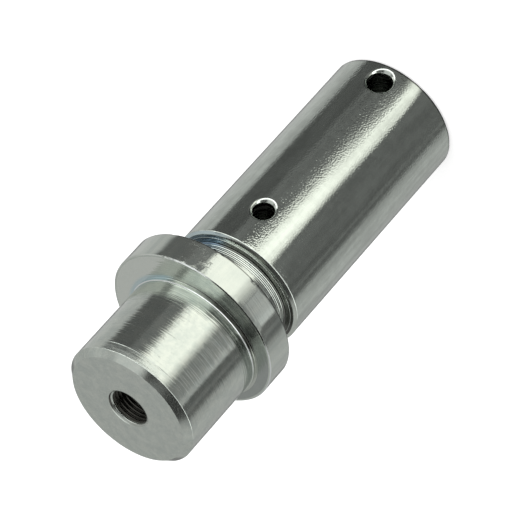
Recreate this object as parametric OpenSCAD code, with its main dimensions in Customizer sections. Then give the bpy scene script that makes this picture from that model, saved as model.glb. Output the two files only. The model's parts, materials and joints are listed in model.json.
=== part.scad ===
// Tie rod pin: one turned steel piece that stands on the free end of its shank, nose up.
// The axis is Z, the origin is the centre of the shank's end face, and the cross holes run along Y.

/* [Nose] */
// Diameter of the nose journal that the tie rod turns on
nose_d = 32; // [26:0.1:40]
// Length of the nose from the collar's face to its free end
nose_len = 24.4; // [18:0.1:40]
// Width of the 45 degree lead-in round the nose
nose_chamfer = 1.5; // [0.3:0.1:3]
// Radius of the fillet between the nose and the collar's face
nose_fillet_r = 0.5; // [0.2:0.1:2]

/* [Tapped hole in the nose] */
// Diameter of the tapping hole for an M10 x 1 thread
thread_bore_d = 9; // [6:0.1:12]
// Diameter of the hole's countersunk mouth
thread_mouth_d = 10; // [7:0.1:14]
// Depth of the tapping hole's straight wall, countersink included
thread_depth = 22; // [10:0.5:40]
// Angle of the drill point at the bottom of the hole
drill_point_angle = 118; // [90:1:140]

/* [Collar] */
// Height of the collar over the nose where it is lowest
collar_lip = 2.65; // [1.5:0.05:8]
// Width of the collar along the axis
collar_w = 7.1; // [4:0.1:14]
// Distance of the collar's own axis from the axis of the pin
collar_offset = 2; // [0:0.1:4]
// Direction of that offset, measured from the drilled side
collar_offset_angle = 14; // [-180:1:180]
// Width of the broken edges of the collar
collar_edge = 0.2; // [0.1:0.1:1]

/* [Neck] */
// Depth of the relief between the collar and the shank
neck_depth = 2.9; // [1.2:0.1:5]
// Length of the relief along the axis
neck_len = 8.7; // [5:0.1:14]
// Radius of the fillets at both ends of the relief
neck_fillet_r = 0.4; // [0.2:0.1:1.1]

/* [Shank] */
// Diameter of the shank
shank_d = 31.7; // [26:0.1:40]
// Length of the shank from its free end to its shoulder
shank_len = 62; // [58:0.1:90]
// Width of the chamfer at the shoulder
shoulder_chamfer = 0.65; // [0.2:0.05:1]
// Width of the broken edge at the free end
end_chamfer = 0.4; // [0.1:0.1:1]

/* [Cross holes] */
// Diameter of the hole at the middle of the shank
mid_hole_d = 5; // [3:0.1:8]
// Diameter of its countersunk mouths
mid_hole_mouth_d = 6.4; // [4:0.1:10]
// Height of its axis over the free end
mid_hole_z = 50.9; // [20:0.1:52]
// Diameter of the hole near the free end
end_hole_d = 6; // [3:0.1:7]
// Diameter of its countersunk mouths
end_hole_mouth_d = 7.5; // [4:0.1:8.5]
// Height of its axis over the free end
end_hole_z = 5.1; // [4.8:0.1:14]

/* [Hidden] */
$fn = 128;
nose_r = nose_d / 2;
shank_r = shank_d / 2;
neck_r = shank_r - neck_depth;
collar_r = nose_r + collar_offset + collar_lip;
// Levels along the axis, from the free end of the shank upwards
shoulder_z = shank_len;
collar_back_z = shoulder_z + neck_len;
collar_mid_z = collar_back_z + collar_w / 2;
collar_front_z = collar_back_z + collar_w;
total_len = collar_front_z + nose_len;
// How far a cut runs past the surface it opens
cut_past = 1;
steel_color = [0.72, 0.73, 0.7];

// Material left in an inside corner at the origin, open towards +X and +Y
module corner_fillet(r) {
    difference() {
        square(r);
        translate([r, r]) circle(r);
    }
}

// Half section of everything that is turned on the pin's own axis
module stem_section() {
    polygon([
        [0, 0],
        [shank_r - end_chamfer, 0],
        [shank_r, end_chamfer],
        [shank_r, shoulder_z - shoulder_chamfer],
        [shank_r - shoulder_chamfer, shoulder_z],
        [neck_r, shoulder_z],
        [neck_r, collar_mid_z],
        [nose_r, collar_mid_z],
        [nose_r, total_len - nose_chamfer],
        [nose_r - nose_chamfer, total_len],
        [0, total_len]
    ]);
    translate([neck_r, shoulder_z]) corner_fillet(neck_fillet_r);
    translate([neck_r, collar_back_z]) mirror([0, 1]) corner_fillet(neck_fillet_r);
    translate([nose_r, collar_front_z]) corner_fillet(nose_fillet_r);
}

// Half section of the collar, with both outer edges broken
module collar_section() {
    polygon([
        [0, collar_back_z],
        [collar_r - collar_edge, collar_back_z],
        [collar_r, collar_back_z + collar_edge],
        [collar_r, collar_front_z - collar_edge],
        [collar_r - collar_edge, collar_front_z],
        [0, collar_front_z]
    ]);
}

// The collar stands off the pin's axis, towards the drilled side at -Y
module collar() {
    rotate(collar_offset_angle) translate([0, -collar_offset]) rotate_extrude() collar_section();
}

// Tapping hole with a drill point and a mouth countersunk at 90 degrees, as one turned cut
module tapped_hole() {
    bore_r = thread_bore_d / 2;
    mouth_r = thread_mouth_d / 2;
    bottom_z = total_len - thread_depth;
    point_z = bottom_z - bore_r / tan(drill_point_angle / 2);
    mouth_z = total_len - (mouth_r - bore_r);
    rotate_extrude() polygon([
        [0, point_z],
        [bore_r, bottom_z],
        [bore_r, mouth_z],
        [mouth_r + cut_past, total_len + cut_past],
        [0, total_len + cut_past]
    ]);
}

// Hole drilled right across the shank and countersunk at 90 degrees on both sides, as one turned cut
module cross_hole(z, hole_d, mouth_d) {
    hole_r = hole_d / 2;
    mouth_r = mouth_d / 2;
    half_wall = shank_r - (mouth_r - hole_r);
    half_cut = shank_r + cut_past;
    translate([0, 0, z]) rotate([90, 0, 0]) rotate_extrude() polygon([
        [0, -half_cut],
        [mouth_r + cut_past, -half_cut],
        [hole_r, -half_wall],
        [hole_r, half_wall],
        [mouth_r + cut_past, half_cut],
        [0, half_cut]
    ]);
}

// Stem and collar in one, less the tapped hole and the two cross holes
module tie_rod_pin() {
    color(steel_color) difference() {
        union() {
            rotate_extrude() stem_section();
            collar();
        }
        tapped_hole();
        cross_hole(mid_hole_z, mid_hole_d, mid_hole_mouth_d);
        cross_hole(end_hole_z, end_hole_d, end_hole_mouth_d);
    }
}

tie_rod_pin();
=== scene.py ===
"""Looks of a tie rod pin: one turned and zinc-plated steel piece that stands on its shank's end, nose up.

Units are metres in the part's own frame. A half section is turned about Z, the collar is turned about its
own axis, two cross holes are let into the shank, and the thread of the nose hole is cut as a helix. Bearings
go round the pin in degrees, from the side that faces the camera towards the photograph's lower right.
"""
import json
import math
from dataclasses import dataclass

import bmesh
import bpy
import numpy as np
from mathutils import Matrix, Vector


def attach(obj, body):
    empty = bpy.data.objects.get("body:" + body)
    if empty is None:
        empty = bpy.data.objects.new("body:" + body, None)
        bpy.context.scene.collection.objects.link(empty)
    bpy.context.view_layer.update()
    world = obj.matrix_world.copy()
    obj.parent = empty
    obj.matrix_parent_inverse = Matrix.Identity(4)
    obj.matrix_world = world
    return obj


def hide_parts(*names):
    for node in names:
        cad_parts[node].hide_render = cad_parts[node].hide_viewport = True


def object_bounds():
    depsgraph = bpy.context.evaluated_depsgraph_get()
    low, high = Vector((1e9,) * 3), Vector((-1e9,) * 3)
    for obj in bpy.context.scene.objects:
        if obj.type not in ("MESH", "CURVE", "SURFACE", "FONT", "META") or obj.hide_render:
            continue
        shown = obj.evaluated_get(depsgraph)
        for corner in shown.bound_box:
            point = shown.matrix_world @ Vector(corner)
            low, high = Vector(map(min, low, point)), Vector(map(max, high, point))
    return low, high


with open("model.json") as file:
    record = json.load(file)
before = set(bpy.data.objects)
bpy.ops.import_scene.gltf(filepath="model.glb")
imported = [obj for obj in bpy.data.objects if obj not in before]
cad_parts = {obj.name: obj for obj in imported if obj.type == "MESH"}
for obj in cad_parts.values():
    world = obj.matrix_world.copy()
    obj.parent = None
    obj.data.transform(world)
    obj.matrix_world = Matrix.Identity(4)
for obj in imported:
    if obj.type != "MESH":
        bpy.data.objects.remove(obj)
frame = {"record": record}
cad_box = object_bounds()

MM = 0.001

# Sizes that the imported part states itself
MOUNTS = {m["name"]: m for m in frame["record"]["mounts"]}
LOW, HIGH = cad_box
NOSE_R = MOUNTS["nose"]["dims"]["r_mm"] * MM
SHANK_R = MOUNTS["shank"]["dims"]["r_mm"] * MM
BORE_R = MOUNTS["nose_thread"]["dims"]["r_mm"] * MM
COLLAR_R = (HIGH.x - LOW.x) / 2
COLLAR_CENTRE = ((HIGH.x + LOW.x) / 2, (HIGH.y + LOW.y) / 2)
COLLAR_FRONT = MOUNTS["collar_front"]["pos_m"][2]
TOP = HIGH.z

# Sizes of the edges, the neck and the tapped hole, as in the part's source
NOSE_CHAMFER = 1.5 * MM
COLLAR_WIDTH = 7.1 * MM
COLLAR_EDGE = 0.2 * MM
NECK_DEPTH = 2.9 * MM
NECK_LENGTH = 8.7 * MM
NECK_FILLET = 0.4 * MM
SHOULDER_CHAMFER = 0.65 * MM
END_CHAMFER = 0.4 * MM
MOUTH_R = 5 * MM
THREAD_PITCH = 1 * MM
HOLE_DEPTH = 22 * MM
DRILL_POINT_ANGLE = math.radians(118)
CROSS_HOLE_MOUTH_R = {"mid_hole": 3.2 * MM, "end_hole": 3.75 * MM}

NECK_R = SHANK_R - NECK_DEPTH
COLLAR_BACK = COLLAR_FRONT - COLLAR_WIDTH
SHOULDER = COLLAR_BACK - NECK_LENGTH

# Fine forms that only the photograph shows. Round the foot of the nose: a bead and a tool line
BEAD = 0.2 * MM
BEAD_HEIGHT = 0.74 * MM
FOOT_LINE_R = NOSE_R + 0.75 * MM
FOOT_LINE_DEPTH = 0.02 * MM
# Behind the nose's lead-in: a worn stretch with a slope as a multiple of its step, between two bearings and
# fading out over some degrees at each
WORN_LENGTH = 3.75 * MM
WORN_STEP = 0.05 * MM
UNWORN_STEP = WORN_STEP / 20
WORN_SLOPE = 1.4
WORN_BEARINGS = (-55, 30)
WORN_FADES = (12, 25)
# In the shoulder: a step
SHOULDER_STEP_R = SHANK_R - 1.45 * MM
SHOULDER_STEP = 0.12 * MM
# In the neck and the countersinks: the rings that the tools left
NECK_RING_PITCH = 0.44 * MM
NECK_RING_DEPTHS = [d * MM for d in (0.06, 0.05, 0.06, 0.05, 0.04, 0.02, 0.012, 0.012)]
MOUTH_RING_DEPTH = 0.012 * MM
MOUTH_RING_COUNT = 2

# How far sharp edges are softened
SOFT = 0.15 * MM
EDGE_SOFT = SOFT / 3
LINE_SOFT = SOFT / 4
SHOULDER_SOFT = 0.36 * MM
LEAD_SOFT = 0.25 * MM
CROSS_MOUTH_SOFT = 0.2 * MM
CROSS_BORE_SOFT = 0.1 * MM

# The thread: its root, where its turns end over the bottom, and its groove's height and slope over one pitch
THREAD_ROOT_R = MOUTH_R - 0.02 * MM
THREAD_RUNOUT = 4 * MM
GROOVE_PEAK = 1.15
GROOVE_SLOPE = 2.6
# Its mouth: the last circles of the nose's face, lips past the mouth's radius with their depths, the cone
# that the turns run into, and the depth of the wall's first circle
FACE_EDGE_R = MOUTH_R + 0.6 * MM
MOUTH_EDGE_R = MOUTH_R + 0.45 * MM
MOUTH_LIPS = ((0.24 * MM, 0.03 * MM), (0.08 * MM, 0.1 * MM))
MOUTH_CONE_R = MOUTH_R + 0.1 * MM
MOUTH_CONE_SOFT = 0.2 * MM
THREAD_START = 0.2 * MM

# Fineness of the mesh: points round the pin, half as many round its tapped hole
ROUND = 240
HOLE_ROUND = ROUND // 2
ARC_STEPS = 5
NECK_RING_POINTS = 8
MOUTH_RING_POINTS = 6
# Longest steps between the circles of each stretch
END_STEP = 2 * MM
SHANK_STEP = 4 * MM
NECK_STEP = 0.8 * MM
RIM_STEP = 0.8 * MM
NOSE_STEP = 1.2 * MM
# Thread: fine steps as deep as the photograph shows it, then coarse ones
FINE_DEPTH = 6 * MM
FINE_STEP = THREAD_PITCH / 16
COARSE_STEP = THREAD_PITCH / 4
# Cross holes: the window in the shank's faces, the shares of the way from its edge to the rim, and the bore
WINDOW_MARGIN = 0.85 * MM
PATCH_COLUMNS = 12
PATCH_ROWS = 20
SKIN_SHARES = (0.3, 0.55, 0.75, 0.9, 1)
RIM_PASSES = 12
BORE_ROWS = 13
BORE_REACH = 0.9
# Heights closer than this are the same, and so are step counts
SAME = 1e-7
SAME_COUNT = 1e-6

# Camera of the photograph, fitted to the pin's outline
CAMERA_PLACE = Vector((-0.30241, -0.61385, 0.47679))
CAMERA_RIGHT = Vector((-0.82372, 0.01415, -0.56681))
CAMERA_UP = Vector((0.42457, -0.64718, -0.63316))
CAMERA_LENS = 254.064
CAMERA_SENSOR = 36

# Level directions that bearings are measured in
TOWARDS = Vector((CAMERA_PLACE.x, CAMERA_PLACE.y, 0)).normalized()
SIDEWAYS = TOWARDS.cross(Vector((0, 0, 1)))


def outward(bearing):
    """Level direction at a bearing in degrees."""
    angle = math.radians(bearing)
    return TOWARDS * math.cos(angle) + SIDEWAYS * math.sin(angle)


def rounded(corners):
    """Half-section points (r, z) of a polyline with rounded corners (r, z, radius) between sharp ends."""
    points = [Vector(corners[0][:2])]
    for before, corner, after in zip(corners, corners[1:], corners[2:]):
        tip = Vector(corner[:2])
        back = (Vector(before[:2]) - tip).normalized()
        ahead = (Vector(after[:2]) - tip).normalized()
        half = back.angle(ahead) / 2
        centre = tip + (back + ahead).normalized() * corner[2] / math.sin(half)
        start = tip + back * corner[2] / math.tan(half) - centre
        end = tip + ahead * corner[2] / math.tan(half) - centre
        turn = math.pi - 2 * half
        for step in range(ARC_STEPS + 1):
            share = step / ARC_STEPS
            arm = start * math.sin((1 - share) * turn) + end * math.sin(share * turn)
            points.append(centre + arm / math.sin(turn))
    return points + [Vector(corners[-1][:2])]


def corners_of(points, first, last):
    """The rounded corners from the first to the last of a polyline, counted from 1."""
    size = ARC_STEPS + 1
    return points[1 + (first - 1) * size:1 + last * size]


def spaced(points, longest):
    """The same points with more between them, so that no step is longer than the given length."""
    out = [points[0]]
    for a, b in zip(points, points[1:]):
        count = max(1, math.ceil((b - a).length / longest - SAME_COUNT))
        out += [a.lerp(b, k / count) for k in range(1, count + 1)]
    return out


def ring(radius, z, count, centre=(0, 0)):
    """Points of one level circle; the first one lies on the drilled side, at -Y."""
    turn = np.arange(count) * 2 * np.pi / count - np.pi / 2
    x = centre[0] + radius * np.cos(turn)
    y = centre[1] + radius * np.sin(turn)
    return np.stack([x, y, np.full(count, z)], 1)


def wave(share):
    """Goes smoothly from 0 to 1 and back while share goes through a whole number."""
    return (1 - math.cos(2 * math.pi * share)) / 2


class Surface:
    """Points and faces of one mesh, gathered piece by piece; every face has the name of its finish."""

    def __init__(self):
        self.points = []
        self.faces = []
        self.finishes = []

    def add_points(self, rows):
        """Adds rows of points and returns their numbers in the same layout."""
        rows = np.asarray(rows)
        first = len(self.points)
        self.points += [tuple(p) for p in rows.reshape(-1, 3)]
        return np.arange(first, len(self.points)).reshape(rows.shape[:-1])

    def add_face(self, corners, finish):
        self.faces.append([int(c) for c in corners])
        self.finishes.append(finish)

    def join(self, lower, upper, finish, keep=None):
        """Joins two closed rows of as many points with four-sided faces, in all columns or those to keep."""
        count = len(lower)
        for j in range(count):
            if keep is None or keep(j):
                k = (j + 1) % count
                self.add_face((lower[j], lower[k], upper[k], upper[j]), finish)

    def join_half(self, fine, coarse, finish):
        """Joins a closed row to one with half as many points."""
        count = len(coarse)
        for j in range(count):
            a, b, c = 2 * j, 2 * j + 1, (2 * j + 2) % (2 * count)
            self.add_face((fine[a], fine[b], fine[c], coarse[(j + 1) % count], coarse[j]), finish)

    def extend(self, row, points, finish):
        """Joins a closed row to a new one of as many points, and returns the new row's numbers."""
        new_row = self.add_points(points)
        self.join(row, new_row, finish)
        return new_row


class CrossHole:
    """One hole across the shank, with its countersinks and its window in the shank's rows."""

    def __init__(self, name):
        mount = MOUNTS[name]
        self.z = mount["pos_m"][2]
        self.r = mount["dims"]["r_mm"] * MM
        self.mouth_r = CROSS_HOLE_MOUTH_R[name]
        self.half_wall = mount["dims"]["length_mm"] * MM / 2
        half_window = self.mouth_r + WINDOW_MARGIN
        self.levels = self.z + np.linspace(-half_window, half_window, PATCH_ROWS + 1)

    def rim_radius(self, turn, depth):
        """Radius of the countersink at the shank's skin lowered by depth, in directions round the hole."""
        skin = SHANK_R - depth
        radius = np.full_like(turn, self.mouth_r)
        for _ in range(RIM_PASSES):
            radius = self.r - self.half_wall + np.sqrt(skin ** 2 - (radius * np.cos(turn)) ** 2)
        return radius

    def circle(self, radius, y, turn):
        """Points round the hole's axis at y, which may differ from point to point, as radius may."""
        x = radius * np.cos(turn)
        return np.stack([x, np.broadcast_to(y, turn.shape), self.z + radius * np.sin(turn)], 1)

    def takes_row(self, z):
        """True for the height of a row whose upper faces the window cuts."""
        return self.levels[0] - SAME < z < self.levels[-1] - SAME


def foot_profile():
    """Half section of the shank's free end, from half its radius to the foot of the shank's wall."""
    return rounded([
        (SHANK_R / 2, 0),
        (SHANK_R - END_CHAMFER, 0, SOFT),
        (SHANK_R, END_CHAMFER, SOFT / 2),
        (SHANK_R, 2 * END_CHAMFER)])


def shank_profile(holes, start, end):
    """The shank's wall: even rows, with each cross hole's own rows in its window."""
    levels = [start]
    for hole in sorted(holes, key=lambda h: h.z):
        count = max(1, math.ceil((hole.levels[0] - levels[-1]) / SHANK_STEP))
        levels += list(np.linspace(levels[-1], hole.levels[0], count + 1)[1:])
        levels += list(hole.levels[1:])
    count = math.ceil((end - levels[-1]) / SHANK_STEP)
    levels += list(np.linspace(levels[-1], end, count + 1)[1:])
    return [Vector((SHANK_R, z)) for z in levels]


def shank_stretches(holes, end):
    """The free end, its broken edge and the shank's wall up to the given height."""
    foot = foot_profile()
    edge = corners_of(foot, 2, 2)
    dark = ARC_STEPS - 1
    return [
        ("end", spaced(foot[:1] + corners_of(foot, 1, 1), END_STEP)),
        ("foot_edge", edge[:dark]),
        ("shank", edge[dark:-1] + shank_profile(holes, edge[-1].y, end))]


def neck_rings():
    """The neck's wall beside the shoulder, with the rings that the tool left there."""
    wall = []
    for k, depth in enumerate(NECK_RING_DEPTHS):
        first = SHOULDER + NECK_FILLET + k * NECK_RING_PITCH
        for share in np.linspace(0, 1, NECK_RING_POINTS + 1)[1:]:
            wall.append(Vector((NECK_R + depth * wave(share) ** 2, first + share * NECK_RING_PITCH)))
    return wall


def neck_stretches(start):
    """The shoulder and the relieved neck, from the given height of the shank's wall."""
    low = SHOULDER - SHOULDER_STEP
    points = rounded([
        (SHANK_R, start),
        (SHANK_R, low - SHOULDER_CHAMFER, SHOULDER_SOFT),
        (SHANK_R - SHOULDER_CHAMFER, low, SHOULDER_SOFT),
        (SHOULDER_STEP_R, low, LINE_SOFT),
        (SHOULDER_STEP_R, SHOULDER, SHOULDER_STEP / 2),
        (NECK_R, SHOULDER, NECK_FILLET),
        (NECK_R, COLLAR_BACK, NECK_FILLET),
        (NECK_R + 2 * NECK_FILLET, COLLAR_BACK)])
    edge = corners_of(points, 2, 2)
    step = corners_of(points, 4, 4)
    return [
        ("shank", corners_of(points, 1, 1)),
        ("shoulder_edge", edge[:1]),
        ("shoulder_lip", edge[1:]),
        ("shoulder_rim", corners_of(points, 3, 3) + step[:1]),
        ("shank", step[1:]),
        ("shoulder", corners_of(points, 5, 5)),
        ("neck", spaced(neck_rings() + corners_of(points, 6, 6) + points[-1:], NECK_STEP))]


def collar_stretches():
    """The collar's rim with its broken edges, about the collar's own axis."""
    points = rounded([
        (COLLAR_R - 6 * COLLAR_EDGE, COLLAR_BACK),
        (COLLAR_R - COLLAR_EDGE, COLLAR_BACK, EDGE_SOFT),
        (COLLAR_R, COLLAR_BACK + COLLAR_EDGE, EDGE_SOFT),
        (COLLAR_R, COLLAR_FRONT - COLLAR_EDGE, EDGE_SOFT),
        (COLLAR_R - COLLAR_EDGE, COLLAR_FRONT, EDGE_SOFT),
        (COLLAR_R - 3 * COLLAR_EDGE, COLLAR_FRONT)])
    return [
        ("rim", spaced(points[:1] + corners_of(points, 1, 3), RIM_STEP)),
        ("rim_edge", corners_of(points, 4, 4)),
        ("rim", points[-1:])]


def nose_stretches(worn_step):
    """The nose from the tool line on the collar's face to the edge of the tapped hole."""
    line = 2 * FOOT_LINE_DEPTH
    bead_r = NOSE_R + BEAD
    bead_z = COLLAR_FRONT + BEAD_HEIGHT
    worn_r = NOSE_R - worn_step
    worn_start = TOP - WORN_LENGTH
    worn_soft = worn_step / 2
    points = rounded([
        (FOOT_LINE_R + 2 * line, COLLAR_FRONT),
        (FOOT_LINE_R + line, COLLAR_FRONT, LINE_SOFT),
        (FOOT_LINE_R, COLLAR_FRONT - FOOT_LINE_DEPTH, LINE_SOFT),
        (FOOT_LINE_R - line, COLLAR_FRONT, LINE_SOFT),
        (bead_r, COLLAR_FRONT, EDGE_SOFT),
        (bead_r, bead_z, LINE_SOFT),
        (NOSE_R, bead_z + BEAD / 2, LINE_SOFT),
        (NOSE_R, worn_start, worn_soft),
        (worn_r, worn_start + WORN_SLOPE * worn_step, worn_soft),
        (worn_r, TOP - NOSE_CHAMFER + worn_step, LEAD_SOFT),
        (NOSE_R - NOSE_CHAMFER, TOP, EDGE_SOFT),
        (FACE_EDGE_R, TOP)])
    bead = corners_of(points, 5, 6)
    dark = ARC_STEPS // 2 + 1
    return [
        ("collar", points[:1] + corners_of(points, 1, 3)),
        ("nose_foot", corners_of(points, 4, 4) + bead[:dark]),
        ("bead", bead[dark:]),
        ("nose", spaced(bead[-1:] + corners_of(points, 7, 9), NOSE_STEP)[1:]),
        ("lead_in", corners_of(points, 10, 10)),
        ("face", points[-1:])]


# Edges that have nicks: centre, radius, height and which way along the axis the metal lies
EDGES = {
    "foot": ((0, 0), SHANK_R - END_CHAMFER / 2, END_CHAMFER / 2, 1),
    "shoulder": ((0, 0), SHANK_R - SHOULDER_CHAMFER / 2, SHOULDER - SHOULDER_CHAMFER / 2, -1),
    "collar_back": (COLLAR_CENTRE, COLLAR_R - COLLAR_EDGE / 2, COLLAR_BACK + COLLAR_EDGE / 2, 1),
    "collar_front": (COLLAR_CENTRE, COLLAR_R - COLLAR_EDGE / 2, COLLAR_FRONT - COLLAR_EDGE / 2, -1),
    "nose": ((0, 0), NOSE_R - NOSE_CHAMFER / 2, TOP - NOSE_CHAMFER / 2, -1),
}

# Nicks that the photograph shows: edge, bearing in degrees, half length, half width and depth in millimetres
NICKS = [
    ("collar_front", -34, 7.5, 0.5, 0.1),
    ("collar_front", -48, 1.2, 0.4, 0.08),
    ("collar_front", -43, 0.9, 0.4, 0.12),
    ("collar_front", -39, 1.0, 0.45, 0.08),
    ("collar_front", -34, 0.9, 0.5, 0.14),
    ("collar_front", -29, 1.0, 0.4, 0.08),
    ("collar_front", -23, 0.9, 0.5, 0.2),
    ("collar_front", 31, 1.7, 0.7, 0.16),
    ("collar_front", 37, 1.3, 0.6, 0.12),
    ("collar_back", 9, 0.9, 0.6, 0.1),
    ("foot", -6, 1.1, 0.5, 0.06),
    ("foot", 4, 1.4, 0.5, 0.06),
    ("nose", -34, 1.5, 0.9, 0.05),
    ("nose", 24, 1.9, 0.9, 0.06),
]
# Small nicks spread over each edge besides, as on any handled pin, in the same units
SPREAD_SEED = 11
SPREAD_COUNT = 14
SPREAD_HALF_LENGTHS = (0.8, 1.8)
SPREAD_HALF_WIDTH = 0.5
SPREAD_DEPTHS = (0.02, 0.05)


def all_nicks():
    """The nicks of the photograph and the small ones that go round every edge."""
    spread = np.random.default_rng(SPREAD_SEED)
    small = []
    for edge in EDGES:
        for _ in range(SPREAD_COUNT):
            bearing = spread.uniform(-180, 180)
            half_length = spread.uniform(*SPREAD_HALF_LENGTHS)
            small.append((edge, bearing, half_length, SPREAD_HALF_WIDTH, spread.uniform(*SPREAD_DEPTHS)))
    return NICKS + small


def dent(points, edge, bearing, half_length, half_width, depth):
    """Pushes the points round one place on an edge into the metal."""
    centre, radius, z, inward = EDGES[edge]
    out = np.array(outward(bearing))
    along = np.array([-out[1], out[0], 0])
    offset = points - (np.array([*centre, z]) + radius * out)
    length = offset @ along
    width = np.sqrt(np.maximum((offset ** 2).sum(-1) - length ** 2, 0))
    weight = np.clip(1 - (length / (half_length * MM)) ** 2 - (width / (half_width * MM)) ** 2, 0, 1)
    points += weight[..., None] * depth * MM * (np.array([0, 0, inward]) - out) / math.sqrt(2)


def turned_rows(holes, worn_step):
    """All circles of the turned form from the foot to the nose's face, and the finish below each circle."""
    shank_top = SHOULDER - 2 * SHOULDER_CHAMFER
    stretches = [
        *shank_stretches(holes, shank_top),
        *neck_stretches(shank_top),
        *collar_stretches(),
        *nose_stretches(worn_step)]
    rows, finishes = [], []
    for finish, points in stretches:
        centre = COLLAR_CENTRE if finish.startswith("rim") else (0, 0)
        rows += [ring(p.x, p.y, ROUND, centre) for p in points]
        finishes += [finish] * len(points)
    return np.array(rows), finishes


def worn_share():
    """How far the nose is worn at each point of a circle: only the photograph's upper left side is."""
    out = ring(1, 0, ROUND)
    bearing = np.degrees(np.arctan2(out @ np.array(SIDEWAYS), out @ np.array(TOWARDS)))
    start, end = WORN_BEARINGS
    start_fade, end_fade = WORN_FADES
    return np.clip((end - bearing) / end_fade, 0, 1) * np.clip((bearing - start) / start_fade, 0, 1)


def pin_surface():
    """The whole pin as one closed surface, from its foot to the drill point of the tapped hole."""
    surface = Surface()
    holes = [CrossHole(name) for name in CROSS_HOLE_MOUTH_R]
    worn, finishes = turned_rows(holes, WORN_STEP)
    plain, _ = turned_rows(holes, UNWORN_STEP)
    share = worn_share()[:, None]
    rows = worn * share + plain * (1 - share)
    heights = rows[:, 0, 2].copy()
    for nick in all_nicks():
        dent(rows, *nick)
    numbers = surface.add_points(rows)

    surface.add_face(numbers[0][::-1], "end")
    for i in range(len(rows) - 1):
        cut = finishes[i] == "shank" and any(hole.takes_row(heights[i]) for hole in holes)
        surface.join(numbers[i], numbers[i + 1], finishes[i + 1], outside_windows if cut else None)
    for hole in holes:
        drill(surface, hole, numbers, heights, finishes)
    tapped_hole(surface, numbers[-1])
    return surface


def outside_windows(column):
    """True for the columns of faces that no cross hole's window takes."""
    from_drilled_side = (column + PATCH_COLUMNS) % (ROUND // 2)
    return from_drilled_side >= 2 * PATCH_COLUMNS


def window_edge(hole, numbers, heights, finishes, side):
    """Numbers of the points round one window, in the same order of direction on both sides of the shank."""
    lowest = next(
        i for i, z in enumerate(heights)
        if finishes[i] == "shank" and abs(z - hole.levels[0]) < SAME)
    middle = 0 if side < 0 else ROUND // 2
    columns = [middle + side * -k for k in range(-PATCH_COLUMNS, PATCH_COLUMNS + 1)]
    level = range(lowest, lowest + PATCH_ROWS + 1)
    place = [(level[0], c) for c in columns[:-1]] + [(i, columns[-1]) for i in level[:-1]]
    place += [(level[-1], c) for c in columns[:0:-1]] + [(i, columns[0]) for i in level[:0:-1]]
    return np.array([numbers[i][c % ROUND] for i, c in place])


def drill(surface, hole, numbers, heights, finishes):
    """Lets one cross hole into both sides of the shank and joins the two by its bore."""
    ends = {}
    for side in (-1, 1):
        edge = window_edge(hole, numbers, heights, finishes, side)
        rim, turn = skin_round(surface, hole, edge, side)
        ends[side] = countersink(surface, hole, rim, turn, side)
    row = ends[-1]
    for share in np.linspace(-BORE_REACH, BORE_REACH, BORE_ROWS):
        row = surface.extend(row, hole.circle(hole.r, share * hole.half_wall, turn), "bore")
    surface.join(row, ends[1], "bore")


def skin_round(surface, hole, edge, side):
    """The shank's skin from a window's edge to the rim of a countersink.

    Gives the numbers of the rim's points and their directions round the hole.
    """
    places = np.array([surface.points[n] for n in edge])
    from_side = np.arctan2(places[:, 0], side * places[:, 1])
    unrolled = np.stack([SHANK_R * from_side, places[:, 2] - hole.z], 1)
    turn = np.arctan2(unrolled[:, 1], unrolled[:, 0])
    rim = hole.rim_radius(turn, 0) + CROSS_MOUTH_SOFT
    rim_flat = np.stack([SHANK_R * np.arcsin(rim * np.cos(turn) / SHANK_R), rim * np.sin(turn)], 1)
    row = edge
    for share in SKIN_SHARES:
        flat = unrolled * (1 - share) + rim_flat * share
        angle = flat[:, 0] / SHANK_R
        skin = [SHANK_R * np.sin(angle), side * SHANK_R * np.cos(angle), hole.z + flat[:, 1]]
        row = surface.extend(row, np.stack(skin, 1), "shank")
    return row, turn


def countersink(surface, hole, row, turn, side):
    """The cone from a rim to the bore, with the tool's rings; gives the bore's first circle."""
    outer = hole.rim_radius(turn, CROSS_MOUTH_SOFT)
    inner = hole.r + CROSS_BORE_SOFT / 2
    for share in np.linspace(0, 1, MOUTH_RING_POINTS * MOUTH_RING_COUNT + 1):
        radius = outer * (1 - share) + inner * share
        depth = hole.half_wall + radius - hole.r - MOUTH_RING_DEPTH * wave(share * MOUTH_RING_COUNT)
        row = surface.extend(row, hole.circle(radius, side * depth, turn), "countersink")
    bore_edge = hole.circle(hole.r, side * (hole.half_wall - CROSS_BORE_SOFT), turn)
    return surface.extend(row, bore_edge, "countersink")


def thread_radius(z, turn):
    """Radius of the tapped wall at height z from the nose's face: a groove along a right-hand helix."""
    runout = np.clip((HOLE_DEPTH - THREAD_RUNOUT + z) / THREAD_PITCH, 0, 1)
    phase = (z / THREAD_PITCH - turn / (2 * np.pi)) % 1
    groove = np.clip(GROOVE_PEAK - abs(phase - 0.5) * GROOVE_SLOPE, 0, 1)
    return BORE_R + (THREAD_ROOT_R - BORE_R) * groove * runout


def larger(a, b, soft):
    """The larger of two lengths, with a smooth change from one to the other."""
    share = np.clip(0.5 + (a - b) / (2 * soft), 0, 1)
    return b + (a - b) * share + soft * share * (1 - share)


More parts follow.
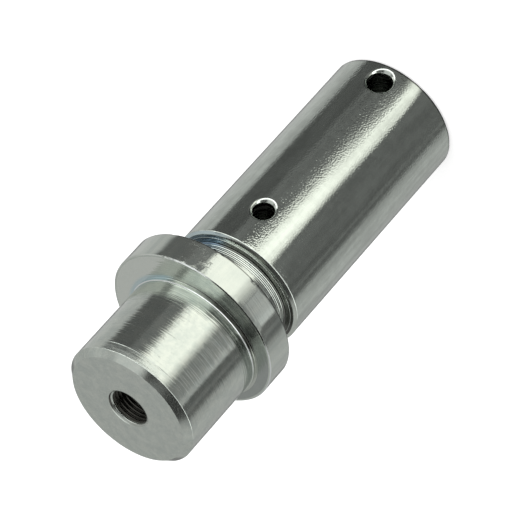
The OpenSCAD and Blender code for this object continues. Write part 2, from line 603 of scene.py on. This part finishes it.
def tapped_hole(surface, front_edge):
    """Goes down from the nose's face through the countersunk mouth and the thread to the drill point."""
    turn = np.arange(HOLE_ROUND) * 2 * np.pi / HOLE_ROUND
    row = surface.add_points(ring(MOUTH_EDGE_R, TOP, HOLE_ROUND))
    surface.join_half(front_edge, row, "face")
    for past_mouth, depth in MOUTH_LIPS:
        row = surface.extend(row, ring(MOUTH_R + past_mouth, TOP - depth, HOLE_ROUND), "face")

    fine = np.arange(-THREAD_START, -FINE_DEPTH, -FINE_STEP)
    coarse = np.arange(-FINE_DEPTH, -HOLE_DEPTH, -COARSE_STEP)
    for z in [*fine, *coarse, -HOLE_DEPTH]:
        radius = larger(thread_radius(z, turn), MOUTH_CONE_R + z, MOUTH_CONE_SOFT)
        wall = ring(1, TOP + z, HOLE_ROUND)
        wall[:, :2] *= radius[:, None]
        row = surface.extend(row, wall, "mouth" if z > BORE_R - MOUTH_R else "thread")

    tip_z = TOP - HOLE_DEPTH - BORE_R / math.tan(DRILL_POINT_ANGLE / 2)
    tip = surface.add_points([(0, 0, tip_z)])[0]
    for j in range(HOLE_ROUND):
        surface.add_face((row[j], row[(j + 1) % HOLE_ROUND], tip), "thread")


class Nodes:
    """Fills a node tree: each call adds one node, sets or links its inputs and returns an output."""

    def __init__(self, tree):
        self.tree = tree
        tree.nodes.clear()

    def add(self, kind, *inputs, output=0, **settings):
        node = self.tree.nodes.new(kind)
        for name, value in settings.items():
            setattr(node, name, value)
        for socket, value in zip(node.inputs, inputs):
            self.put(socket, value)
        return node.outputs[output] if node.outputs else None

    def put(self, socket, value):
        if isinstance(value, bpy.types.NodeSocket):
            self.tree.links.new(value, socket)
        elif value is not None:
            socket.default_value = value

    def math(self, operation, *inputs):
        return self.add("ShaderNodeMath", *inputs, operation=operation)

    def product(self, first, *others):
        """All the factors multiplied, one after the other."""
        for factor in others:
            first = self.math("MULTIPLY", first, factor)
        return first

    def dot(self, vector, direction):
        return self.add("ShaderNodeVectorMath", vector, direction, operation="DOT_PRODUCT", output=1)

    def stretch(self, vector, factors):
        return self.add("ShaderNodeVectorMath", vector, factors, operation="MULTIPLY")

    def fade(self, value, start, end, low=0.0, high=1.0):
        """Goes smoothly from low to high while value goes from start to end."""
        return self.add(
            "ShaderNodeMapRange", value, start, end, low, high, interpolation_type="SMOOTHSTEP")

    def blend(self, share, a, b):
        return self.add("ShaderNodeMix", share, None, a, b, data_type="FLOAT")

    def blend_colour(self, share, a, b):
        node = self.tree.nodes.new("ShaderNodeMix")
        node.data_type = "RGBA"
        for socket, value in zip((node.inputs[0], node.inputs[6], node.inputs[7]), (share, a, b)):
            self.put(socket, (*value, 1) if isinstance(value, tuple) else value)
        return node.outputs[2]

    def noise(self, vector, scale, detail, roughness):
        return self.add("ShaderNodeTexNoise", vector, None, scale, detail, roughness)

    def relief(self, height, depth, below=None):
        """Normal of a fine relief: height goes from 0 to 1, depth is its size in metres."""
        node = self.tree.nodes.new("ShaderNodeBump")
        self.put(node.inputs["Distance"], depth)
        self.put(node.inputs["Height"], height)
        self.put(node.inputs["Normal"], below)
        return node.outputs["Normal"]


def new_material(name):
    """A material and its empty node tree."""
    material = bpy.data.materials.new(name)
    material.use_nodes = True
    return material, Nodes(material.node_tree)


def new_object(name, data):
    """An object in the scene."""
    obj = bpy.data.objects.new(name, data)
    bpy.context.scene.collection.objects.link(obj)
    return obj


# Colours of the plating, and colours of painted light, shade, highlights and blue reflections
STEEL = (0.63, 0.67, 0.61)
STEEL_CLOUDED = (0.54, 0.59, 0.545)
# Painted light and painted shade: the collar's face lighter on its left side and darker on its right
STEEL_PAINTED_LIGHT = (0.76, 0.8, 0.74)
STEEL_SHADED = (0.36, 0.39, 0.37)
# Lighter and darker lengthwise streaks of the plating's own tone
STREAK_LIGHT = (0.67, 0.725, 0.665)
STREAK_DARK = (0.5, 0.54, 0.495)
# Painted highlight: near-white for the bright lines along the collar's front edge and the bead at the nose's
# foot
PAINTED_HIGHLIGHT = (0.93, 0.97, 0.96)
# Painted blue reflections on the left side of the shoulder, the neck, the collar's face and the nose's foot
BLUE_PALE = (0.6, 0.72, 0.74)
BLUE_PAINTED_REFLECTION = (0.5, 0.66, 0.7)
BLUE_GREY = (0.44, 0.53, 0.55)
BLUE_DEEP = (0.2, 0.29, 0.38)
# Painted shade: dark lines along edges, the shade in corners and under the collar, and the dark inside the
# holes
PAINTED_SHADE = (0.025, 0.022, 0.018)

# Where the left side of the photograph begins and where it is reached, sideways from the pin's axis; the
# painted blue reflections lie there
LEFT = (-7 * MM, -11 * MM)
FAR_LEFT = (-10.5 * MM, -13.5 * MM)


@dataclass
class Finish:
    """How one stretch of the pin is finished.

    turning, peel and drift are depths of relief in metres; streaks, haze, grime and scuffs are shares, and
    grime is painted shade mixed into the tones. A shade is a colour with the places sideways from the axis
    where it begins and where it is full; the shades are painted light, shade, highlights and blue
    reflections on one side of the pin, and foot_reflection_paint is a painted blue reflection beside the
    nose's foot. The stretch has painted shade below the height dark_below, and dark_edge has the heights
    where a painted dark line of shade begins and is full, and its share. A drilled stretch has its marks
    round a cross hole, not round the pin.
    """
    roughness: float
    streaks: float
    turning: float
    peel: float
    tones: tuple = (STEEL, STEEL_CLOUDED)
    haze: float = 0.02
    shade_paint: float = 0
    shades: tuple = ()
    foot_reflection_paint: tuple = None
    drilled: bool = False
    dark_below: float = None
    dark_edge: tuple = None
    drift: float = 0
    scuffs: float = 0
    worn: bool = False


# The plain finish that a turning tool leaves on the small faces
TURNED = {"roughness": 0.12, "streaks": 0.4, "turning": 2e-5, "peel": 1e-5}

FINISHES = {
    "end": Finish(roughness=0.2, streaks=0.4, turning=2e-5, peel=1e-5),
    # Painted shade: a dark line along the free end's broken edge
    "foot_edge": Finish(roughness=0.2, streaks=0.4, turning=0, peel=2e-5, haze=0, shade_paint=0.85),
    # dark_edge here is painted shade: a dark line just above the free end's edge
    "shank": Finish(
        roughness=0.08, streaks=0.4, turning=1e-5, peel=5.5e-5, haze=0.01, drift=2e-5,
        tones=(STREAK_LIGHT, STREAK_DARK),
        dark_edge=(END_CHAMFER + 0.4 * MM, END_CHAMFER + 0.15 * MM, 0.8)),
    "countersink": Finish(roughness=0.08, streaks=0.3, turning=1e-5, peel=6e-6, drilled=True),
    # Painted shade inside the cross holes
    "bore": Finish(
        roughness=0.25, streaks=0.6, turning=6e-5, peel=1e-5, haze=0, shade_paint=0.5, drilled=True),
    # Painted shade on the shoulder's chamfer, lifted back towards plain steel on the right, and a painted
    # blue reflection on the left
    "shoulder_edge": Finish(
        **TURNED, haze=0.15, shade_paint=0.45, shades=((BLUE_PALE, *LEFT), (STEEL, 9 * MM, 12 * MM))),
    # Painted blue reflection on the left
    "shoulder_lip": Finish(**TURNED, haze=0.12, shades=((BLUE_PALE, *LEFT),)),
    # Painted blue reflection on the left and painted shade towards the right
    "shoulder_rim": Finish(
        **TURNED, haze=0.04, shades=((BLUE_DEEP, *LEFT), (PAINTED_SHADE, -3 * MM, 7 * MM))),
    # Painted shade under the collar, and a painted blue reflection on the left
    "shoulder": Finish(**TURNED, shade_paint=0.82, shades=((BLUE_DEEP, *LEFT),)),
    # Painted blue reflection on the left
    "neck": Finish(roughness=0.07, streaks=0.4, turning=1e-5, peel=6e-6, shades=((BLUE_GREY, *LEFT),)),
    # dark_edge here is painted shade: a dark line along the collar's back edge
    "rim": Finish(
        roughness=0.08, streaks=0.5, turning=6e-6, peel=8e-6, haze=0.07, drift=2e-5, scuffs=1,
        dark_edge=(COLLAR_BACK + 0.5 * MM, COLLAR_BACK + 0.25 * MM, 0.7)),
    # Painted highlights along the collar's front edge on the left and at the far right, plain steel at the
    # far left, and painted shade between
    "rim_edge": Finish(
        roughness=0.1, streaks=0.5, turning=0, peel=2e-5,
        shades=(
            (PAINTED_HIGHLIGHT, -5 * MM, -7 * MM), (STEEL, -13 * MM, -16 * MM),
            (PAINTED_SHADE, -6 * MM, -3 * MM), (PAINTED_HIGHLIGHT, 11 * MM, 14 * MM))),
    # Painted light on the collar's face at the left, painted shade at the right, and a painted blue
    # reflection beside the nose's foot
    "collar": Finish(
        roughness=0.12, streaks=0.6, turning=4e-5, peel=1e-5, foot_reflection_paint=BLUE_PAINTED_REFLECTION,
        shades=((STEEL_PAINTED_LIGHT, -9 * MM, -13 * MM), (STEEL_SHADED, 8 * MM, 15 * MM))),
    # Painted blue reflection at the far left, and painted shade in the corner at the nose's foot that ends
    # on the right
    "nose_foot": Finish(
        **TURNED,
        shades=((BLUE_PALE, *FAR_LEFT), (PAINTED_SHADE, -12 * MM, 1 * MM), (STEEL, 10 * MM, 13 * MM))),
    # Painted highlight: the bead is made near-white except at the far right
    "bead": Finish(
        roughness=0.1, streaks=0.4, turning=0, peel=6e-6, haze=0, shades=((PAINTED_HIGHLIGHT, 16 * MM, 12 * MM),)),
    "nose": Finish(roughness=0.09, streaks=0.7, turning=4.5e-5, peel=1e-5, haze=0.03, worn=True),
    "lead_in": Finish(roughness=0.15, streaks=0.6, turning=4e-5, peel=6e-6, haze=0.01),
    "face": Finish(roughness=0.2, streaks=0.2, turning=1e-5, peel=2e-5, haze=0.03),
    # Painted shade in the tapped hole's mouth, darker on the left
    "mouth": Finish(
        roughness=0.2, streaks=0.3, turning=0, peel=1e-5, haze=0.4, shade_paint=0.5,
        shades=((PAINTED_SHADE, -1.5 * MM, -3.5 * MM),)),
    # Painted shade down the thread
    "thread": Finish(roughness=0.2, streaks=0.3, turning=0, peel=1e-5, dark_below=TOP - 0.6 * MM),
}

# How the marks in the plating are spread. A noise has scale, detail and roughness; a fade has start, end,
# low and high, or only the first two; a stretch has the noise's scale along X, Y and Z.
SHADE_SHARE = 0.85
# Rings of the lathe: long round the pin, short along it
RINGS_ROUND = 25
RINGS_ALONG = 1 / MM
RINGS_NOISE = (3.0, 1.0, 0.5)
RINGS_SPAN = (0.3, 0.7)
# Grain of the plating: strongest beside the light in the photograph, and towards the free end
GRAIN_NOISE = (2.7 / MM, 0.0, 0.5)
GRAIN_RIGHT = (0, -2.2 * MM, 0.2, 1)
GRAIN_LEFT = (-10 * MM, -6 * MM, 0.3, 1)
GRAIN_HEIGHT = (52 * MM, 8 * MM, 0.75, 1.7)
# Clouds, and lengthwise streaks mixed into them where the surface drifts
CLOUD_NOISE = (420, 5.0, 0.7)
CLOUD_SPAN = (0.32, 0.68)
DRIFT_STRETCH = (450, 450, 40)
DRIFT_NOISE = (1.0, 3.0, 0.55)
DRIFT_SHARE = 0.6
# Painted blue reflection beside the foot of the nose, and the painted shade down the thread
FOOT_REFLECTION_REACH = (NOSE_R + 1.6 * MM, NOSE_R + 0.3 * MM)
DARK_DEPTH = 0.6 * MM
DARK_SHARE = 0.95
# Scuffs in patches on the collar's rim, in the photograph's upper left
SCUFF_RIGHT = (-6 * MM, -8 * MM)
SCUFF_LEFT = (-15 * MM, -13 * MM)
SCUFF_FRONT = (0, 5 * MM)
SCUFF_PATCHES = (350, 3.0, 0.6)
SCUFF_SPAN = (0.48, 0.62)
SCUFF_NOISE = (1.6 / MM, 1.0, 0.5)
SCUFF_DEPTH = 4e-5
SCUFF_ROUGHNESS = 0.2
# Wear behind the nose's lead-in: from its step on, more at the tip, in the photograph's upper left
WEAR_STEP = (TOP - WORN_LENGTH - 0.1 * MM, TOP - WORN_LENGTH + 0.3 * MM, 0, 0.5)
WEAR_TIP = (TOP - NOSE_CHAMFER - 1.4 * MM, TOP - NOSE_CHAMFER, 0, 0.5)
WEAR_RIGHT = (3 * MM, -1 * MM)
WEAR_LEFT = (-13 * MM, -11 * MM)
WEAR_STRETCH = (350, 350, 2200)
WEAR_NOISE = (1.0, 3.0, 0.6)
WEAR_DEPTH = 1e-4
WEAR_ROUGHNESS = 0.12
WEAR_HAZE = (0.35, 0.65, 0.15, 0.4)


class Plating:
    """Zinc-plated steel: the rings left by turning, a fine grain and the marks of one stretch of the pin."""

    def __init__(self, name, finish):
        self.material, self.nodes = new_material(name)
        self.finish = finish
        self.place = self.nodes.add("ShaderNodeTexCoord", output=3)
        self.x, self.y, self.z = (
            self.nodes.add("ShaderNodeSeparateXYZ", self.place, output=k) for k in range(3))
        squares = [self.nodes.math("MULTIPLY", c, c) for c in (self.x, self.y)]
        self.across = self.nodes.math("SQRT", self.nodes.math("ADD", *squares))
        self.aside = self.nodes.dot(self.place, SIDEWAYS)

        self.metal = 1 - finish.haze
        self.turn()
        self.cloud()
        self.shade()
        if finish.scuffs:
            self.scuff()
        if finish.worn:
            self.wear()
        self.shader()

    def turn(self):
        """Roughness and relief from the lathe's rings, and the grain over them."""
        nodes, finish = self.nodes, self.finish
        level = self.z if finish.drilled else self.y
        along = self.y if finish.drilled else nodes.math("ADD", self.across, self.z)
        factors = ((self.x, RINGS_ROUND), (level, RINGS_ROUND), (along, RINGS_ALONG))
        lathe = nodes.add("ShaderNodeCombineXYZ", *(nodes.product(c, factor) for c, factor in factors))
        rings = nodes.noise(lathe, *RINGS_NOISE)
        low, high = finish.roughness * (1 - finish.streaks), finish.roughness * (1 + finish.streaks)
        self.roughness = nodes.fade(rings, *RINGS_SPAN, low, high)

        grainy = nodes.product(
            nodes.fade(self.aside, *GRAIN_RIGHT), nodes.fade(self.aside, *GRAIN_LEFT),
            nodes.fade(self.z, *GRAIN_HEIGHT))
        grain = nodes.product(nodes.noise(self.place, *GRAIN_NOISE), grainy)
        turned = nodes.relief(rings, finish.turning) if finish.turning else None
        self.normal = nodes.relief(grain, finish.peel, turned)

    def cloud(self):
        """Lighter and duller tones, with lengthwise streaks where the finish drifts."""
        nodes, finish = self.nodes, self.finish
        cloud = nodes.noise(self.place, *CLOUD_NOISE)
        if finish.drift:
            drift = nodes.noise(nodes.stretch(self.place, DRIFT_STRETCH), *DRIFT_NOISE)
            cloud = nodes.blend(DRIFT_SHARE, cloud, drift)
            self.normal = nodes.relief(drift, finish.drift, self.normal)
        # The tones are darkened by the finish's share of painted shade
        light, dull = (tuple(Vector(c).lerp(Vector(PAINTED_SHADE), finish.shade_paint)) for c in finish.tones)
        self.colour = nodes.blend_colour(nodes.fade(cloud, *CLOUD_SPAN), light, dull)

    def tint(self, share, colour):
        self.colour = self.nodes.blend_colour(share, self.colour, colour)

    def shade(self):
        """Painted light, shade, highlights and blue reflections, painted shade down the thread and along
        edges.
        """
        nodes, finish = self.nodes, self.finish
        for colour, start, end in finish.shades:
            self.tint(nodes.fade(self.aside, start, end, 0, SHADE_SHARE), colour)
        if finish.foot_reflection_paint:
            near = nodes.fade(self.across, *FOOT_REFLECTION_REACH)
            left = nodes.fade(self.aside, *FAR_LEFT, 0, SHADE_SHARE)
            self.tint(nodes.product(near, left), finish.foot_reflection_paint)
        if finish.dark_below:
            full = finish.dark_below - DARK_DEPTH
            self.tint(nodes.fade(self.z, finish.dark_below, full, 0, DARK_SHARE), PAINTED_SHADE)
        if finish.dark_edge:
            start, full, share = finish.dark_edge
            self.tint(nodes.fade(self.z, start, full, 0, share), PAINTED_SHADE)

    def scuff(self):
        """Rough patches on one side."""
        nodes = self.nodes
        side = nodes.product(
            nodes.fade(self.aside, *SCUFF_RIGHT, 0, self.finish.scuffs), nodes.fade(self.aside, *SCUFF_LEFT),
            nodes.fade(nodes.dot(self.place, TOWARDS), *SCUFF_FRONT))
        spread = nodes.fade(nodes.noise(self.place, *SCUFF_PATCHES), *SCUFF_SPAN)
        patches = nodes.product(spread, side)
        self.roughness = nodes.math("ADD", self.roughness, nodes.product(patches, SCUFF_ROUGHNESS))
        scratches = nodes.product(nodes.noise(self.place, *SCUFF_NOISE), patches)
        self.normal = nodes.relief(scratches, SCUFF_DEPTH, self.normal)

    def wear(self):
        """Marks round the nose, rougher and hazier than the rest, behind its lead-in."""
        nodes = self.nodes
        height = nodes.math("ADD", nodes.fade(self.z, *WEAR_STEP), nodes.fade(self.z, *WEAR_TIP))
        side = nodes.product(nodes.fade(self.aside, *WEAR_RIGHT), nodes.fade(self.aside, *WEAR_LEFT))
        worn = nodes.product(height, side)
        marks = nodes.noise(nodes.stretch(self.place, WEAR_STRETCH), *WEAR_NOISE)
        self.normal = nodes.relief(nodes.product(marks, worn), WEAR_DEPTH, self.normal)
        self.roughness = nodes.math("ADD", self.roughness, nodes.product(worn, WEAR_ROUGHNESS))
        hazy = nodes.product(worn, nodes.fade(marks, *WEAR_HAZE))
        self.metal = nodes.math("SUBTRACT", self.metal, hazy)

    def shader(self):
        shader = self.nodes.tree.nodes.new("ShaderNodeBsdfPrincipled")
        self.nodes.put(shader.inputs["Metallic"], self.metal)
        self.nodes.put(shader.inputs["Base Color"], self.colour)
        self.nodes.put(shader.inputs["Roughness"], self.roughness)
        self.nodes.put(shader.inputs["Normal"], self.normal)
        self.nodes.add("ShaderNodeOutputMaterial", shader.outputs[0])


def clean(mesh):
    """Drops the points that the windows left unused and turns all faces outwards."""
    work = bmesh.new()
    work.from_mesh(mesh)
    bmesh.ops.delete(work, geom=[v for v in work.verts if not v.link_faces], context="VERTS")
    bmesh.ops.recalc_face_normals(work, faces=work.faces)
    work.to_mesh(mesh)
    work.free()


def build_pin():
    """Makes the pin's mesh, gives each face its finish and sets it in place of the plain solid."""
    surface = pin_surface()
    mesh = bpy.data.meshes.new("tie_rod_pin_turned")
    mesh.from_pydata(surface.points, [], surface.faces)
    for name, finish in FINISHES.items():
        mesh.materials.append(Plating("steel_" + name, finish).material)
    names = list(FINISHES)
    mesh.polygons.foreach_set("material_index", [names.index(f) for f in surface.finishes])
    mesh.polygons.foreach_set("use_smooth", [True] * len(mesh.polygons))
    clean(mesh)
    pin = new_object("tie_rod_pin_turned", mesh)
    weighted = pin.modifiers.new("flat_faces", "WEIGHTED_NORMAL")
    weighted.keep_sharp = True
    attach(pin, "root")
    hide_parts("tie_rod_pin")


def build_camera():
    """The photograph's camera."""
    data = bpy.data.cameras.new("camera")
    data.lens = CAMERA_LENS
    data.sensor_width = CAMERA_SENSOR
    camera = new_object("camera", data)
    backward = CAMERA_RIGHT.cross(CAMERA_UP)
    turn = Matrix((CAMERA_RIGHT, CAMERA_UP, backward)).transposed().to_4x4()
    camera.matrix_world = Matrix.Translation(CAMERA_PLACE) @ turn
    bpy.context.scene.camera = camera


def glossy_only(obj):
    """Lets only reflections see a card of the studio."""
    obj.visible_camera = False
    obj.visible_diffuse = False
    obj.visible_shadow = False
    obj.visible_transmission = False
    obj.visible_volume_scatter = False


def card_mesh(name, rows):
    """A level sheet at the floor, with the glow of its points as an attribute."""
    corners, glow, faces = [], [], []
    width = len(rows[0][1])
    for distance, pairs in rows:
        corners += [outward(bearing) * distance * MM for bearing, _ in pairs]
        glow += [level for _, level in pairs]
    for i in range(len(rows) - 1):
        for j in range(width - 1):
            a = i * width + j
            faces.append((a, a + 1, a + width + 1, a + width))
    mesh = bpy.data.meshes.new(name)
    mesh.from_pydata(corners, [], faces)
    mesh.attributes.new("glow", "FLOAT", "POINT").data.foreach_set("value", glow)
    return mesh


def card(name, rows, tint):
    """A soft-edged light at the floor that only the metal reflects.

    Each row is a distance from the pin's axis in millimetres and pairs of bearing and glow; the glow fades
    evenly between neighbours.
    """
    mesh = card_mesh(name, rows)
    obj = new_object(name, mesh)
    material, nodes = new_material(name)
    material.cycles.emission_sampling = "NONE"
    level = nodes.add("ShaderNodeAttribute", output=2, attribute_name="glow")
    light = nodes.add("ShaderNodeEmission", (*tint, 1), level)
    behind = nodes.add("ShaderNodeBsdfTransparent")
    nodes.add("ShaderNodeOutputMaterial", nodes.add("ShaderNodeAddShader", light, behind))
    mesh.materials.append(material)
    glossy_only(obj)


# The light in front of the pin: distance in millimetres, four bearings (dark, full, full, dark) and glow
SOFTBOX = [
    (16, (-11, 0, 1, 6), 1.12),
    (66, (-25, -3, 6, 15), 1.22),
    (116, (-23, -13, 9, 17), 1.32),
    (132, (-38, -33, 7, 26), 1.27),
    (150, (-41, -34, 7, 26), 1.27),
    (160, (-37, -24, 7, 24), 1.27),
    (220, (-44, -30, 7, 25), 1.27),
    (400, (-58, -38, 7, 27), 1.27),
]
SOFTBOX_TINT = (1, 0.99, 0.93)
# The grey card beside it: bearing and glow in its near and its far part, and the distances in millimetres
GREY_NEAR = [(18, 0), (24, 0.34), (46, 0.4), (51, 0.56), (57, 0.56), (60, 0)]
GREY_FAR = [(18, 0), (26, 0.08), (46, 0.16), (51, 0.3), (57, 0.3), (60, 0)]
GREY_CARD = [(126, GREY_NEAR), (147, GREY_NEAR), (152, GREY_FAR), (400, GREY_FAR)]
GREY_TINT = (1, 1, 1)


def build_cards():
    """What the pin reflects from below, besides the room."""
    softbox = [
        (distance, list(zip(bearings, (0, glow, glow, 0)))) for distance, bearings, glow in SOFTBOX]
    card("softbox", softbox, SOFTBOX_TINT)
    card("grey_card", GREY_CARD, GREY_TINT)


# The floor: half its width, how far it lies below the pin, its grey and how much of white the camera adds
FLOOR_HALF = 3
FLOOR_DROP = 0.1 * MM
FLOOR_GREY = 0.55
FLOOR_LIFT = 0.58


def build_floor():
    """A pale floor that keeps the pin's shadow and looks white; the metal reflects the room instead."""
    corners = [(x * FLOOR_HALF, y * FLOOR_HALF, 0) for x, y in ((-1, -1), (1, -1), (1, 1), (-1, 1))]
    mesh = bpy.data.meshes.new("floor")
    mesh.from_pydata(corners, [], [(0, 1, 2, 3)])
    floor = new_object("floor", mesh)
    floor.location.z = -FLOOR_DROP
    material, nodes = new_material("floor")
    material.cycles.emission_sampling = "NONE"
    path = nodes.tree.nodes.new("ShaderNodeLightPath")
    pale = nodes.add("ShaderNodeBsdfDiffuse", (FLOOR_GREY, FLOOR_GREY, FLOOR_GREY, 1))
    lift = nodes.product(path.outputs["Is Camera Ray"], FLOOR_LIFT)
    white = nodes.add("ShaderNodeEmission", None, lift)
    nodes.add("ShaderNodeOutputMaterial", nodes.add("ShaderNodeAddShader", pale, white))
    mesh.materials.append(material)
    floor.visible_glossy = False


# What reflections see of the room, by bearing: the level at -180 degrees, then steps (start, end, level)
ROOM_BELOW = (1.1, [
    (-175, -168, 0.25), (-162, -154, 0.58), (-135, -115, 0.53), (-109, -97, 0.105), (-66, -58, 0.18),
    (0, 40, 0.155), (60, 65, 0.13), (71, 75, 0.2), (77, 80, 0.13), (82, 97, 0.44), (97, 114, 0.52),
    (120, 145, 0.45), (154, 162, 0.25), (168, 175, 1.1)])
ROOM_STRIP = (0.12, [
    (-172, -160, 0.5), (-122, -112, 0.9), (-100, -88, 2.4), (90, 105, 0.95), (114, 124, 0.48),
    (160, 172, 0.12)])
ROOM_WALLS = (0.48, [
    (-150, -110, 0.6), (-98, -91, 0.28), (-84, -72, 1.1), (-62, -45, 1.3), (-16, -2, 0.19),
    (44, 58, 0.03), (70, 95, 0.42), (100, 112, 0.53), (140, 170, 0.48)])
ROOM_CEILING = (0.48, [
    (-130, -105, 0.56), (-90, -76, 0.74), (-40, -10, 0.03), (86, 104, 0.5), (140, 170, 0.48)])
ROOM_TOP = (1.3, [])
# Its level straight below, then its parts upwards: where the step to each lies, as the sine of its elevation
ROOM_FOOT = 0.06
ROOM = [
    ((-0.78, -0.7), ROOM_BELOW),
    ((-0.1, 0.0), ROOM_STRIP),
    ((0.26, 0.36), ROOM_WALLS),
    ((0.56, 0.66), ROOM_CEILING),
    ((0.88, 0.94), ROOM_TOP),
]


def room_level(nodes, bearing, part):
    """Level of one part of the room at a bearing."""
    level, steps = part
    for start, end, new_level in steps:
        level = nodes.blend(nodes.fade(bearing, start, end), level, new_level)
    return level


def build_world():
    """Even white light, with light and dark sides of a room for reflections alone."""
    world = bpy.data.worlds.new("studio")
    world.use_nodes = True
    world.cycles.sampling_method = "NONE"
    bpy.context.scene.world = world
    nodes = Nodes(world.node_tree)
    path = nodes.tree.nodes.new("ShaderNodeLightPath")
    direction = nodes.add("ShaderNodeTexCoord", output=0)
    turn = nodes.math("ARCTAN2", nodes.dot(direction, SIDEWAYS), nodes.dot(direction, TOWARDS))
    bearing = nodes.product(turn, 180 / math.pi)
    rise = nodes.dot(direction, (0, 0, 1))
    room = ROOM_FOOT
    for step, part in ROOM:
        room = nodes.blend(nodes.fade(rise, *step), room, room_level(nodes, bearing, part))
    seen = nodes.blend(path.outputs["Is Glossy Ray"], 1.0, room)
    nodes.add("ShaderNodeOutputWorld", nodes.add("ShaderNodeBackground", (1, 1, 1, 1), seen))


LAMP_SIZE = 0.9
LAMP_POWER = 6
LAMP_PLACE = TOWARDS * 0.25 - SIDEWAYS * 0.5 + Vector((0, 0, 1.1))


def build_lamp():
    """One large soft lamp overhead, which gives the shadow on the floor."""
    data = bpy.data.lights.new("key", "AREA")
    data.shape = "DISK"
    data.size = LAMP_SIZE
    data.energy = LAMP_POWER
    lamp = new_object("key", data)
    lamp.location = LAMP_PLACE
    lamp.rotation_euler = (-LAMP_PLACE).to_track_quat("-Z", "Y").to_euler()
    lamp.visible_glossy = False


build_pin()
build_camera()
build_floor()
build_cards()
build_world()
build_lamp()
bpy.context.scene.view_settings.view_transform = "Standard"
